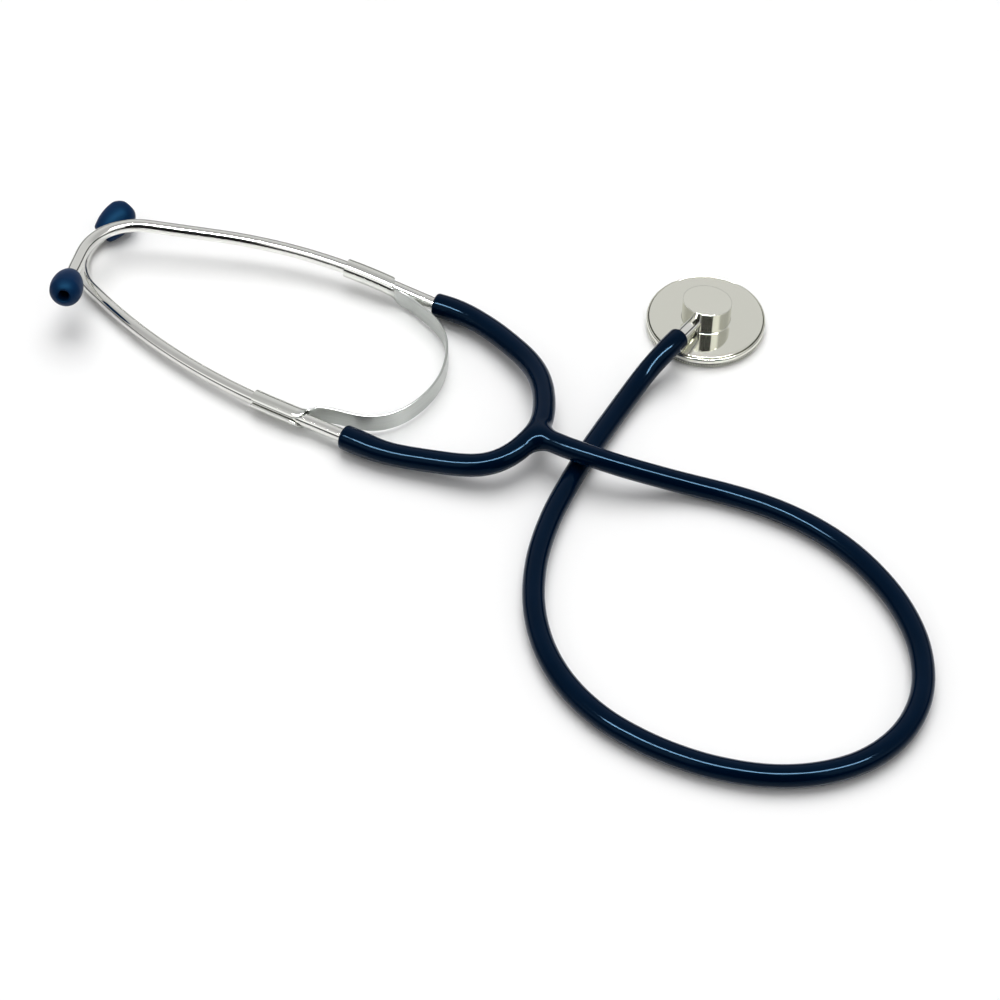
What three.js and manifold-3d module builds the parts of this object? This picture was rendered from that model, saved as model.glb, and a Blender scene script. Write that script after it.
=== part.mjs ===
// Single-head stethoscope lying on a table: a sprung pair of ear tubes, a moulded
// Y of tubing and a flat chestpiece. Millimetres, +Z up, table at z = 0.
// +X runs along the headset from the ear tips to the Y. "Left" is the +Y side.
import * as THREE from 'three';
import { mergeVertices } from 'three/addons/utils/BufferGeometryUtils.js';
import Module from 'manifold-3d';

const wasm = await Module();
wasm.setup();

// ---- driving dimensions -------------------------------------------------------------
const FIT_GAP = 0.3; // clearance between pieces that touch or press together
const END_GAP = 0.4; // clearance between two end faces that meet at a slight angle

const TUBING_OD = 8.2; // soft tubing, outside
const ARM_OD = 8.7; // the arms of the Y are a little stouter
const TUBING_SIDES = 10;

const EAR_TUBE_OD = 5.2; // rigid ear tube, outside
const EAR_TUBE_WALL = 0.6;

const TIP_RADIUS = 6.4; // ear tip, widest
const TIP_BASE_RADIUS = 4.3;
const TIP_NOSE_LENGTH = 6.4; // widest place to nose
const TIP_SKIRT_LENGTH = 9.8; // widest place back to the open base
const TIP_SOCKET_DEPTH = 6.4;
const TIP_HOLE_RADIUS = 2.0; // sound hole in the nose

const STRIP_WIDTH = 8.4; // leaf spring, height of the upright strip
const STRIP_THICKNESS = 0.9;
const STRIP_NECK_WIDTH = 6.2; // narrow place where the strip leaves each clip
const CLIP_LENGTH = 21.5;
const CLIP_WALL = 0.9;
const CLIP_SLOT = 1.3; // open seam of the rolled clip

const HEAD_RADIUS = 22.4; // plate of the chestpiece
const HEAD_TOP = 5.0; // upper face of the plate above the table
const HEAD_UNDERSIDE = 1.9; // rim of the plate that bears on the diaphragm
const RIM_LAND = 2.8; // flat rim round the shallow bell hollow under the plate
const CAVITY_DEPTH = 1.5; // at its centre
const EDGE_BREAK = 0.3; // small chamfer on turned edges
const KNOB_RADIUS = 9.7;
const KNOB_HEIGHT = 9.0; // on the axis, above the plate
const SOUND_BORE_RADIUS = 1.8;

const STEM_OD = 5.2;
const STEM_WALL = 1.0;
const STEM_RISE = THREE.MathUtils.degToRad(9.5); // stem and knob top slope up by this
const STEM_HEADING = THREE.MathUtils.degToRad(-97); // direction in plan
const STEM_AXIS_HEIGHT = 4.9; // above the plate, at the knob's side
const STEM_INNER_END = 3.2; // from the head's axis
const STEM_OUTER_END = 21.0;

const RING_WALL = 0.8; // retaining ring, beside the plate
const RING_TOP = 4.6;
const RING_BEVEL_HEIGHT = 0.6; // at the foot of the ring
const RING_BEVEL_WIDTH = 0.8;
const RING_LIP_WIDTH = 2.3; // reach under the rim of the diaphragm
const RING_LIP_THICKNESS = 0.8;
const DIAPHRAGM_THICKNESS = 0.4;
const DIAPHRAGM_PLAY = 0.2; // the disc is this much smaller in radius than the plate

// ---- places -------------------------------------------------------------------------
const HEAD_CENTRE = new THREE.Vector3(109.8, 49, 0);

// Corners of each ear tube from its tubing end to the middle of the ear tip, with the
// bend radius at each inner corner. The left tube passes over the right one.
const EAR_TUBES = {
  left: {
    corners: [
      [10.8, 7.5, 5.6], [-49.5, 9.2, 9.3], [-128.3, -16.9, 14.3], [-120.1, -49.7, 15.1],
      [-115.3, -59.8, 18.9],
    ],
    radii: [195, 22, 6],
  },
  right: {
    corners: [
      [11.5, -69.5, 5.6], [-65.3, -65.6, 4.8], [-136.3, -34.8, 3.3], [-129.7, -17.2, 3.3],
      [-126.2, -6.5, 7.2],
    ],
    radii: [262, 23, 6],
  },
};
const EAR_TUBE_STEPS = 64;
const CLIP_START = 17.7; // along each ear tube, from its tubing end

// Plan of the strip between the clips, from left to right.
const STRIP_PLAN = [
  [1.8, 3.9], [7.1, 1.9], [12.9, -0.4], [19.2, -4.0], [24.4, -8.8], [27.9, -14.6], [30.2, -20.4],
  [31.8, -28.5], [31.6, -37.0], [29, -46.8], [24.2, -54.6], [18, -59.2], [11.2, -61.0],
  [5.2, -61.7], [-0.8, -63.0],
];
const STRIP_MIDDLE_HEIGHT = 5.3;
const STRIP_STEPS = 56;

// Soft tubing: the two arms are one run from the right ear tube to the left one.
const ARMS_ROUTE = [
  [11.9, -69.6, 5.6], [20.2, -70, 5.6], [27.8, -70.2, 5.6], [35.9, -69.1, 5.7], [43.5, -67.5, 6],
  [51.1, -65.9, 6.5], [58.6, -64.2, 7.2], [65.8, -61.8, 8.2], [71.2, -58, 9.3], [74.9, -52.9, 10.3],
  [77.1, -47.4, 11.1], [78.4, -42, 11.6], [78.2, -36.2, 11.2], [76.6, -30.2, 10.5], [74, -24.1, 9.7],
  [70, -16.9, 8.8], [64, -9.7, 7.9], [56.5, -4, 7], [49.1, -0.2, 6.4], [41.4, 3.2, 6],
  [33.9, 5.8, 5.7], [26.4, 7.5, 5.6], [19.1, 8, 5.6], [11.2, 7.5, 5.6],
];
// The main tube, from the Y to just short of the chestpiece stem. It passes over its
// own far end near the Y.
const REST = TUBING_OD / 2;
const MAIN_ROUTE = [
  [78.4, -42, 11.6], [85.6, -42.7, 12.2], [92.8, -43.4, 12.6], [99.7, -43.3, 12.7], [106, -42.9, 12.3],
  [113.1, -41.6, 11.1], [121.4, -39.2, 9.1], [129.4, -36.6, 7], [136.8, -34.3, 5.3],
  [144.2, -32.5, 4.4], [152, -31.2, REST], [167.6, -30.2, REST], [183.5, -31.4, REST],
  [199.5, -35.5, REST], [214.9, -42.9, REST], [229.1, -53.5, REST], [240.6, -67.5, REST],
  [247.5, -85.1, REST], [247.2, -102.7, REST], [240.4, -118.4, REST], [229, -130.3, REST],
  [213.8, -139.2, REST], [196.3, -144.3, REST], [181.7, -145.9, REST], [166.7, -145.4, REST],
  [151.5, -142.5, REST], [135.8, -135.6, REST], [122.3, -125, REST], [110.9, -110, REST],
  [103, -91.8, REST], [98.8, -71.8, REST], [97.6, -52, REST], [97.7, -31.6, REST], [98.8, -12.6, REST],
  [99.8, -1.6, 4.8], [101.1, 7.6, 6.3], [102.7, 13.4, 8.4], [104.5, 18, 10.4], [105.8, 22.2, 11.7],
];
const JUNCTION_MAIN = 11; // length of the Y moulding along each of its three branches
const JUNCTION_ARM = 12;
const JUNCTION_AT = [78.4, -42, 11.6];
const WEB_RADIUS = 3.9; // ball that fills the crotches of the Y
const ARM_STEPS = 9;
const MAIN_STEPS = 56;

// ---- materials ----------------------------------------------------------------------
const finish = (color, roughness, metalness) =>
  new THREE.MeshStandardMaterial({ color, roughness, metalness });
const chrome = () => finish(0xcdcec5, 0.08, 1);
const springSteel = () => finish(0xb3b5b4, 0.3, 1);
const tubingVinyl = () => finish(0x03142a, 0.22, 0);
const tipRubber = () => finish(0x143857, 0.45, 0);
const diaphragmSheet = () => finish(0xd8d8d0, 0.35, 0);

// ---- geometry helpers ---------------------------------------------------------------
const vec = ([x, y, z]) => new THREE.Vector3(x, y, z);

// Part of a longer curve, between two distances along it.
class Stretch extends THREE.Curve {
  constructor(base, from, to) {
    super();
    Object.assign(this, { base, from, to, total: base.getLength() });
  }
  getPoint(t) {
    const along = this.from + (this.to - this.from) * t;
    return this.base.getPointAt(THREE.MathUtils.clamp(along / this.total, 0, 1));
  }
}

// Circular arc that rounds a corner between two straight runs.
class CornerArc extends THREE.Curve {
  constructor(before, corner, after, radius) {
    super();
    const back = before.clone().sub(corner).normalize();
    const on = after.clone().sub(corner).normalize();
    const half = back.angleTo(on) / 2;
    const reach = radius / Math.tan(half);
    this.start = corner.clone().addScaledVector(back, reach);
    this.end = corner.clone().addScaledVector(on, reach);
    const middle = back.clone().add(on).normalize();
    this.centre = corner.clone().addScaledVector(middle, radius / Math.sin(half));
    this.axis = this.start.clone().sub(this.centre).cross(this.end.clone().sub(this.centre)).normalize();
    this.sweep = Math.PI - 2 * half;
  }
  getPoint(t) {
    const spoke = this.start.clone().sub(this.centre);
    return spoke.applyAxisAngle(this.axis, this.sweep * t).add(this.centre);
  }
}

// Straight runs joined by arcs, as a tube bender makes them.
function bentRoute(corners, radii) {
  const route = new THREE.CurvePath();
  let from = corners[0];
  radii.forEach((radius, i) => {
    const arc = new CornerArc(corners[i], corners[i + 1], corners[i + 2], radius);
    route.add(new THREE.LineCurve3(from, arc.start));
    route.add(arc);
    from = arc.end;
  });
  route.add(new THREE.LineCurve3(from, corners.at(-1)));
  return route;
}

function ngon(radius, sides, type = THREE.Shape) {
  const points = Array.from({ length: sides }, (_, i) => {
    const angle = (2 * Math.PI * i) / sides;
    return new THREE.Vector2(radius * Math.cos(angle), radius * Math.sin(angle));
  });
  return new type(points);
}

const sweep = (section, path, steps) =>
  new THREE.ExtrudeGeometry(section, { extrudePath: path, steps, bevelEnabled: false });

// Hollow round tube along a path.
function pipe(outer, inner, path, steps, sides) {
  const section = ngon(outer, sides);
  section.holes.push(ngon(inner, sides, THREE.Path));
  return sweep(section, path, steps);
}

const lathe = (profile, segments) =>
  new THREE.LatheGeometry(profile.map(([r, z]) => new THREE.Vector2(r, z)), segments);

// Turns a shape made round the Y axis so that it stands on the Z axis.
const upright = (geometry) => geometry.rotateX(Math.PI / 2);

function solid(geometry) {
  const bare = geometry.clone();
  bare.deleteAttribute('normal');
  bare.deleteAttribute('uv');
  const merged = mergeVertices(bare.index ? bare.toNonIndexed() : bare, 1e-4);
  return new wasm.Manifold(new wasm.Mesh({
    numProp: 3,
    vertProperties: new Float32Array(merged.attributes.position.array),
    triVerts: new Uint32Array(merged.index.array),
  }));
}

function geometryOf(manifold) {
  const mesh = manifold.getMesh();
  const geometry = new THREE.BufferGeometry();
  geometry.setAttribute('position', new THREE.BufferAttribute(new Float32Array(mesh.vertProperties), 3));
  geometry.setIndex(new THREE.BufferAttribute(new Uint32Array(mesh.triVerts), 1));
  geometry.computeVertexNormals();
  return geometry;
}

function named(name, geometry, material) {
  const mesh = new THREE.Mesh(geometry, material);
  mesh.name = name;
  return mesh;
}

// ---- headset ------------------------------------------------------------------------
function earTube(side) {
  const { corners, radii } = EAR_TUBES[side];
  const points = corners.map(vec);
  const tipCentre = points.at(-1);
  const nose = tipCentre.clone().sub(points.at(-2)).normalize();
  const socketFloor = TIP_SKIRT_LENGTH - TIP_SOCKET_DEPTH;
  points[points.length - 1] = tipCentre.clone().addScaledVector(nose, -socketFloor - FIT_GAP);
  return { route: bentRoute(points, radii), tipCentre, nose };
}

function earTubeMesh(side, route) {
  const outer = EAR_TUBE_OD / 2;
  const tube = pipe(outer, outer - EAR_TUBE_WALL, route, EAR_TUBE_STEPS, 14);
  return named(`ear_tube_${side}`, tube, chrome());
}

// Bulb with its widest place at the origin and its nose towards +Y: a socket for the
// ear tube in the base, and a sound hole through the nose.
function earTipMesh(side, tipCentre, nose) {
  const socket = EAR_TUBE_OD / 2 + FIT_GAP;
  const floor = -TIP_SKIRT_LENGTH + TIP_SOCKET_DEPTH;
  const profile = [[TIP_BASE_RADIUS - 0.4, -TIP_SKIRT_LENGTH], [TIP_BASE_RADIUS, -TIP_SKIRT_LENGTH + 0.4]];
  for (let i = 1; i <= 4; i++) {
    const t = i / 4;
    const swell = Math.sin((t * Math.PI) / 2);
    const radius = TIP_BASE_RADIUS + (TIP_RADIUS - TIP_BASE_RADIUS) * swell;
    profile.push([radius, -TIP_SKIRT_LENGTH * (1 - t)]);
  }
  const lipAngle = Math.acos((TIP_HOLE_RADIUS + 0.6) / TIP_RADIUS);
  for (let i = 1; i <= 5; i++) {
    const angle = (lipAngle * i) / 5;
    profile.push([TIP_RADIUS * Math.cos(angle), TIP_NOSE_LENGTH * Math.sin(angle)]);
  }
  const mouth = TIP_NOSE_LENGTH * Math.sin(lipAngle);
  profile.push([TIP_HOLE_RADIUS, mouth - 0.3], [TIP_HOLE_RADIUS, floor]);
  profile.push([socket, floor], [socket, -TIP_SKIRT_LENGTH], profile[0]);
  const tip = named(`ear_tip_${side}`, lathe(profile, 24), tipRubber());
  tip.position.copy(tipCentre);
  tip.quaternion.setFromUnitVectors(new THREE.Vector3(0, 1, 0), nose);
  return tip;
}

// One steel stamping: an upright strip bent to a U, its ends rolled round the ear tubes.
function leafSpringMesh(routes) {
  const bore = EAR_TUBE_OD / 2 + FIT_GAP;
  const clipOuter = bore + CLIP_WALL;
  const wallMiddle = bore + STRIP_THICKNESS / 2;
  const plan = STRIP_PLAN.map(([x, y]) => new THREE.Vector3(x, y, STRIP_MIDDLE_HEIGHT));
  const clips = [];
  const cuts = [];
  for (const [side, outward] of [['left', 1], ['right', -1]]) {
    const route = routes[side];
    const stretch = new Stretch(route, CLIP_START, CLIP_START + CLIP_LENGTH);
    clips.push(solid(pipe(clipOuter, bore, stretch, 6, 16)));

    // The strip leaves each clip along its inner side.
    const root = [0.02, 0.3].map((t) => stretch.getPoint(t));
    const onInnerSide = root.map(
      (p) => new THREE.Vector3(p.x, p.y - outward * wallMiddle, STRIP_MIDDLE_HEIGHT),
    );
    if (outward > 0) plan.unshift(onInnerSide[1], onInnerSide[0]);
    else plan.push(onInnerSide[0], onInnerSide[1]);

    // Seam of the rolled clip, on its outer side.
    const middle = stretch.getPoint(0.5);
    const seam = new THREE.BoxGeometry(CLIP_LENGTH + 4, 2 * clipOuter, CLIP_SLOT);
    seam.translate(middle.x, middle.y + outward * (bore - 1 + clipOuter), middle.z - 0.6);
    cuts.push(solid(seam));

    // A pair of round notches makes the neck beside the clip.
    const notchRadius = 3;
    const neck = stretch.getPoint(0).x + notchRadius + 0.4;
    for (const up of [1, -1]) {
      const notch = new THREE.CylinderGeometry(notchRadius, notchRadius, 14, 24);
      const height = STRIP_MIDDLE_HEIGHT + up * (STRIP_NECK_WIDTH / 2 + notchRadius);
      notch.translate(neck, middle.y - outward * 5, height);
      cuts.push(solid(notch));
    }
  }
  const path = new THREE.CatmullRomCurve3(plan);
  const halfWidth = STRIP_WIDTH / 2;
  const halfThickness = STRIP_THICKNESS / 2;
  const section = new THREE.Shape([
    new THREE.Vector2(-halfWidth, -halfThickness), new THREE.Vector2(halfWidth, -halfThickness),
    new THREE.Vector2(halfWidth, halfThickness), new THREE.Vector2(-halfWidth, halfThickness),
  ]);
  let spring = solid(sweep(section, path, STRIP_STEPS));
  for (const clip of clips) spring = spring.add(clip);
  for (const cut of cuts) spring = spring.subtract(cut);
  return named('leaf_spring', geometryOf(spring), springSteel());
}

// ---- tubing -------------------------------------------------------------------------
function tubingMeshes(stemPoint) {
  const arms = new THREE.CatmullRomCurve3(ARMS_ROUTE.map(vec));
  const mainPoints = MAIN_ROUTE.map(vec);
  mainPoints.push(stemPoint(STEM_OUTER_END + 2.5), stemPoint(STEM_OUTER_END + END_GAP));
  const main = new THREE.CatmullRomCurve3(mainPoints);

  const armsLength = arms.getLength();
  const mainLength = main.getLength();
  const centre = vec(JUNCTION_AT);
  const hub = nearestAlong(arms, centre);
  const rod = (curve, from, to, steps, diameter) =>
    sweep(ngon(diameter / 2, TUBING_SIDES), new Stretch(curve, from, to), steps);

  let junction = solid(rod(arms, hub - JUNCTION_ARM, hub + JUNCTION_ARM, 6, ARM_OD));
  junction = junction.add(solid(rod(main, 0, JUNCTION_MAIN, 3, TUBING_OD)));
  const web = new THREE.SphereGeometry(WEB_RADIUS, 16, 10);
  web.translate(centre.x + 2.6, centre.y, centre.z);
  junction = junction.add(solid(web));

  const right = rod(arms, 0, hub - JUNCTION_ARM - FIT_GAP, ARM_STEPS, ARM_OD);
  const left = rod(arms, hub + JUNCTION_ARM + FIT_GAP, armsLength, ARM_STEPS, ARM_OD);
  const long = rod(main, JUNCTION_MAIN + FIT_GAP, mainLength, MAIN_STEPS, TUBING_OD);
  return [
    named('y_junction', geometryOf(junction), tubingVinyl()),
    named('right_arm', right, tubingVinyl()),
    named('left_arm', left, tubingVinyl()),
    named('main_tube', long, tubingVinyl()),
  ];
}

// Distance along a curve of the place nearest to a point.
function nearestAlong(curve, point) {
  const samples = 400;
  const places = curve.getSpacedPoints(samples).map((p) => p.distanceTo(point));
  return (places.indexOf(Math.min(...places)) / samples) * curve.getLength();
}

// ---- chestpiece ---------------------------------------------------------------------
const stemDirection = new THREE.Vector3(
  Math.cos(STEM_HEADING) * Math.cos(STEM_RISE),
  Math.sin(STEM_HEADING) * Math.cos(STEM_RISE),
  Math.sin(STEM_RISE),
);
// Where the stem's axis crosses the axis of the head.
const stemRoot = HEAD_CENTRE.clone().setZ(
  HEAD_TOP + STEM_AXIS_HEIGHT - KNOB_RADIUS * Math.tan(STEM_RISE),
);
const onStem = (distance) => stemRoot.clone().addScaledVector(stemDirection, distance);

function headMesh() {
  const crown = HEAD_TOP + KNOB_HEIGHT + KNOB_RADIUS * Math.tan(STEM_RISE) + 1;
  const cavityTop = HEAD_UNDERSIDE + CAVITY_DEPTH;
  const cavityRadius = HEAD_RADIUS - RIM_LAND;
  const profile = [
    [0, stemRoot.z], [SOUND_BORE_RADIUS, stemRoot.z], [SOUND_BORE_RADIUS, cavityTop],
    [cavityRadius, HEAD_UNDERSIDE + EDGE_BREAK], [cavityRadius, HEAD_UNDERSIDE],
    [HEAD_RADIUS - EDGE_BREAK, HEAD_UNDERSIDE], [HEAD_RADIUS, HEAD_UNDERSIDE + EDGE_BREAK],
    [HEAD_RADIUS, HEAD_TOP - EDGE_BREAK], [HEAD_RADIUS - EDGE_BREAK, HEAD_TOP],
    [KNOB_RADIUS, HEAD_TOP], [KNOB_RADIUS, crown], [0, crown],
  ];
  let head = solid(upright(lathe(profile, 64)));

  // The top of the knob is cut to the slope of the stem.
  const slab = new THREE.BoxGeometry(4 * KNOB_RADIUS, 4 * KNOB_RADIUS, 2 * KNOB_RADIUS);
  slab.translate(0, 0, KNOB_RADIUS);
  slab.rotateY(-STEM_RISE).rotateZ(STEM_HEADING);
  slab.translate(0, 0, HEAD_TOP + KNOB_HEIGHT);
  head = head.subtract(solid(slab));

  // Bore for the stem, then the narrower sound way to the middle.
  const toStem = (radius, from, to) => {
    const bore = new THREE.CylinderGeometry(radius, radius, to - from, 24);
    bore.translate(0, (from + to) / 2, 0).rotateZ(-Math.PI / 2);
    bore.rotateY(-STEM_RISE).rotateZ(STEM_HEADING).translate(0, 0, stemRoot.z);
    return solid(bore);
  };
  head = head.subtract(toStem(STEM_OD / 2 + FIT_GAP, STEM_INNER_END - FIT_GAP, 2 * KNOB_RADIUS));
  head = head.subtract(toStem(STEM_OD / 2 - STEM_WALL, 0, STEM_INNER_END));
  const mesh = named('chestpiece_head', geometryOf(head), chrome());
  mesh.position.copy(HEAD_CENTRE);
  return mesh;
}

function stemMesh() {
  const outer = STEM_OD / 2;
  const bore = outer - STEM_WALL;
  const profile = [
    [bore, STEM_INNER_END], [outer, STEM_INNER_END], [outer, STEM_OUTER_END],
    [bore, STEM_OUTER_END], [bore, STEM_INNER_END],
  ];
  const stem = named('chestpiece_stem', lathe(profile, 24), chrome());
  stem.position.copy(stemRoot);
  stem.quaternion.setFromUnitVectors(new THREE.Vector3(0, 1, 0), stemDirection);
  return stem;
}

function diaphragmMesh() {
  const radius = HEAD_RADIUS - DIAPHRAGM_PLAY;
  const disc = new THREE.CylinderGeometry(radius, radius, DIAPHRAGM_THICKNESS, 64);
  upright(disc).translate(0, 0, RING_LIP_THICKNESS + FIT_GAP + DIAPHRAGM_THICKNESS / 2);
  const mesh = named('diaphragm', disc, diaphragmSheet());
  mesh.position.copy(HEAD_CENTRE);
  return mesh;
}

function retainingRingMesh() {
  const bore = HEAD_RADIUS + FIT_GAP;
  const outer = bore + RING_WALL;
  const lip = bore - RING_LIP_WIDTH;
  const profile = [
    [lip, 0], [outer - RING_BEVEL_WIDTH, 0], [outer, RING_BEVEL_HEIGHT],
    [outer, RING_TOP - EDGE_BREAK], [bore + RING_WALL / 2, RING_TOP], [bore, RING_TOP - EDGE_BREAK],
    [bore, RING_LIP_THICKNESS], [lip, RING_LIP_THICKNESS], [lip, 0],
  ];
  const mesh = named('retaining_ring', upright(lathe(profile, 64)), chrome());
  mesh.position.copy(HEAD_CENTRE);
  return mesh;
}

// ---- assembly -----------------------------------------------------------------------
const stethoscope = new THREE.Group();
const routes = {};
for (const side of ['left', 'right']) {
  const { route, tipCentre, nose } = earTube(side);
  routes[side] = route;
  stethoscope.add(earTubeMesh(side, route), earTipMesh(side, tipCentre, nose));
}
stethoscope.add(leafSpringMesh(routes));
stethoscope.add(...tubingMeshes(onStem));
stethoscope.add(headMesh(), stemMesh(), diaphragmMesh(), retainingRingMesh());

export default stethoscope;
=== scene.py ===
# %% [markdown]
# # A stethoscope on a white table
# Two sprung metal ear tubes with soft tips, a glossy navy Y of tubing and a flat chrome
# chestpiece. The engineering model has fixed every size and place, so this lesson only makes
# the fine surfaces and finishes. All lengths below are in millimetres until a mesh is made.

# %% Load the fixed frame
from math import radians

import bmesh
import bpy
import mathutils
import numpy as np
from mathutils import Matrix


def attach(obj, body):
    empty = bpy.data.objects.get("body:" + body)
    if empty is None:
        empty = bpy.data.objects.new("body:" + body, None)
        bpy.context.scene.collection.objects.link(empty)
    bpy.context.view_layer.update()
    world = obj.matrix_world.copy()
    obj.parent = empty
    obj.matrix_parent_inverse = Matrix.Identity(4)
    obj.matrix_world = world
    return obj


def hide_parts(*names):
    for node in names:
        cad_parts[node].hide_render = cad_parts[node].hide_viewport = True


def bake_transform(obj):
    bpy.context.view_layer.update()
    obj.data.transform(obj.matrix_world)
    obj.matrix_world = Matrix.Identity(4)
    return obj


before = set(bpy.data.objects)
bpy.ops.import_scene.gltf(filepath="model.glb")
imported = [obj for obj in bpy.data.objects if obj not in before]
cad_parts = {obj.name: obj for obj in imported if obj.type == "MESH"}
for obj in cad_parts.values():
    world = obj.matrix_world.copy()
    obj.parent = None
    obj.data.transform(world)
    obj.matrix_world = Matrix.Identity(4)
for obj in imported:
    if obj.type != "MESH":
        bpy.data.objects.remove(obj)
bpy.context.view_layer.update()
MM = 0.001

# %% [markdown]
# ## The camera
# A long lens from about a metre away draws near and far pieces at almost the same scale. It
# looks down by 50 degrees, so the round plate of the chestpiece shows as a wide ellipse.

# %% Camera
camera_data = bpy.data.cameras.new("camera")
camera_data.lens, camera_data.sensor_width = 86.4, 36
camera = bpy.data.objects.new("camera", camera_data)
bpy.context.collection.objects.link(camera)
camera.location = (0.3284, -0.5815, 0.682)
camera.rotation_euler = (radians(40), 0, radians(26.1))
bpy.context.scene.camera = camera
print("camera:", camera_data.lens, "mm lens")

# %% [markdown]
# ## Lines through space
# Tubing, bent metal tube and the spring are all profiles carried along a line. Tubing lies in
# free curves, so its line passes smoothly through listed points. A bent metal tube is
# straight between round bends, so its line is made of corners with arcs put in.


# %% Curve helpers
def unit(v):
    """Vectors of the same direction and length one, along the last axis."""
    return v / np.linalg.norm(v, axis=-1, keepdims=True)


def ramp(x, low, high):
    """Rises smoothly from 0 at low to 1 at high: 3 t squared less 2 t cubed."""
    t = np.clip((x - low) / (high - low), 0, 1)
    return t * t * (3 - 2 * t)


def through(points, per_span=24):
    """Smooth curve through all the points. Between two of them it is a cubic in t from 0 to 1,
    whose end slopes weigh the neighbouring spans by the root of their length."""
    p = np.asarray(points, float)
    p = np.vstack([2 * p[0] - p[1], p, 2 * p[-1] - p[-2]])
    d = np.sqrt(np.linalg.norm(np.diff(p, axis=0), axis=1))[:, None]
    before, here, after, beyond = p[:-3], p[1:-2], p[2:-1], p[3:]
    d0, d1, d2 = d[:-2], d[1:-1], d[2:]
    leave = d1 * ((here - before) / d0 - (after - before) / (d0 + d1) + (after - here) / d1)
    arrive = d1 * ((after - here) / d1 - (beyond - here) / (d1 + d2) + (beyond - after) / d2)
    t = np.linspace(0, 1, per_span, endpoint=False)[None, :, None]
    a, b, u, v = (x[:, None] for x in (here, after, leave, arrive))
    spans = a + u * t + (3 * (b - a) - 2 * u - v) * t**2 + (2 * (a - b) + u + v) * t**3
    return np.vstack([spans.reshape(-1, p.shape[1]), p[-2]])


def distances(path):
    """Distance from the start of the path to each of its points."""
    return np.concatenate([[0], np.cumsum(np.linalg.norm(np.diff(path, axis=0), axis=1))])


def at(path, where, values=None):
    """Points of the path, or any values given for them, at the distances in where."""
    s = distances(path)
    values = path if values is None else values
    return np.stack([np.interp(where, s, column) for column in values.T], axis=-1)


def relaxed(path, step, rounds):
    """Evenly spaced points. In each round every inner one moves to a quarter of the one before,
    half of itself and a quarter of the one after, as stiff tubing evens out its own bends."""
    total = distances(path)[-1]
    path = at(path, np.linspace(0, total, int(total / step) + 1))
    for _ in range(rounds):
        path[1:-1] = (path[:-2] + 2 * path[1:-1] + path[2:]) / 4
    return path


def bent(corners, radii, arc_points=24):
    """Straight runs joined by arcs. An arc in a corner of half angle h starts r / tan h before
    the corner, and its centre stands r / sin h from the corner, on the line that halves it."""
    corners = np.asarray(corners, float)
    pieces = [corners[:1]]
    for before, corner, after, radius in zip(corners, corners[1:], corners[2:], radii):
        back, on = unit(before - corner), unit(after - corner)
        half = np.arccos(back @ on) / 2
        start = corner + back * radius / np.tan(half)
        centre = corner + unit(back + on) * radius / np.sin(half)
        spoke, ahead = start - centre, -back * radius
        angle = np.linspace(0, np.pi - 2 * half, arc_points)[:, None]
        pieces.append(centre + np.cos(angle) * spoke + np.sin(angle) * ahead)
    return np.vstack([*pieces, corners[-1:]])


def directions(path):
    """Three unit vectors at each point: along the path, level across it, and upwards."""
    ahead = unit(np.gradient(path, distances(path), axis=0))
    across = unit(np.cross([0.0, 0.0, 1.0], ahead))
    return ahead, across, np.cross(ahead, across)


# %% [markdown]
# ## From arrays to meshes
# Every surface here is a grid of points, row by row. A row is a closed ring, so its last point
# joins its first. A row whose points all meet on the axis becomes a pole, and merging those
# points closes the surface there.


# %% Mesh helpers
def mesh_piece(name, vertices, faces, sharp=35):
    """A new object with smooth faces, and creases where they meet at more than sharp degrees.
    Meeting points are merged and all faces turned outwards."""
    mesh = bpy.data.meshes.new(name)
    mesh.from_pydata((vertices * MM).tolist(), [], faces)
    shape = bmesh.new()
    shape.from_mesh(mesh)
    bmesh.ops.remove_doubles(shape, verts=shape.verts, dist=1e-7)
    bmesh.ops.recalc_face_normals(shape, faces=shape.faces)
    shape.to_mesh(mesh)
    shape.free()
    mesh.shade_smooth()
    mesh.set_sharp_from_angle(angle=radians(sharp))
    piece = bpy.data.objects.new(name, mesh)
    bpy.context.collection.objects.link(piece)
    return piece


def points_of(mesh):
    """The mesh's points as rows of x, y and z, in millimetres."""
    flat = np.empty(len(mesh.vertices) * 3, np.float32)
    mesh.vertices.foreach_get("co", flat)
    return flat.reshape(-1, 3).astype(float) / MM


def move_points(mesh, points):
    """Puts the mesh's points at new places, given in millimetres."""
    mesh.vertices.foreach_set("co", (points * MM).astype(np.float32).ravel())
    mesh.update()


def ring_faces(rows, columns):
    """Four-sided faces between each point, the next in its row, and the two in the row after."""
    i, j = np.meshgrid(np.arange(rows - 1), np.arange(columns), indexing="ij")
    k = (j + 1) % columns
    quads = [i * columns + j, i * columns + k, (i + 1) * columns + k, (i + 1) * columns + j]
    return np.stack(quads, axis=-1).reshape(-1, 4).tolist()


def sleeve(name, path, profile, sides, sharp=35):
    """A round profile carried along a path: path(s) + r (cos a across(s) + sin a up(s)), where
    the profile's rows are distance s and radius r, and a goes once round."""
    s, r = np.asarray(profile, float).T
    _, across, up = directions(path)
    a = np.linspace(0, 2 * np.pi, sides, endpoint=False)[None, :, None]
    round_it = np.cos(a) * at(path, s, across)[:, None] + np.sin(a) * at(path, s, up)[:, None]
    grid = at(path, s)[:, None] + r[:, None, None] * round_it
    return mesh_piece(name, grid.reshape(-1, 3), ring_faces(len(s), sides), sharp)


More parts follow.
